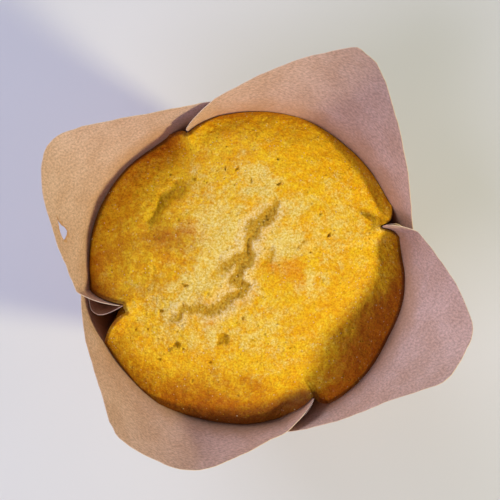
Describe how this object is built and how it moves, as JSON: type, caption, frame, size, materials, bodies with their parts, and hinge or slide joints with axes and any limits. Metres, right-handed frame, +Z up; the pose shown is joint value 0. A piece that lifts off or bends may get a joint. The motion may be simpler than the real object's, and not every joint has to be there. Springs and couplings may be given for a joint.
{
  "type": "muffin in a paper case",
  "caption": "Domed golden muffin with a split crust, baked in a folded brown paper tulip case whose corners stand up as petals.",
  "frame": {"origin": "centre of the case's flat underside, on the surface that it stands on", "axes": "+Z up, through the middle of the muffin; +X points between the first petal and the fourth, towards the pleat where the fourth laps over the first"},
  "size_m": [0.1013, 0.0995, 0.0722],
  "materials": {
    "muffin_crust": "soft golden baked crust, finely pored, browner at its rim and pale in the cracks",
    "case_paper": "unbleached greaseproof paper, matt, a little translucent, darker where it has taken up fat"
  },
  "bodies": {
    "root": {"muffin": "muffin_crust", "paper_case": "case_paper"}
  },
  "joints": []
}
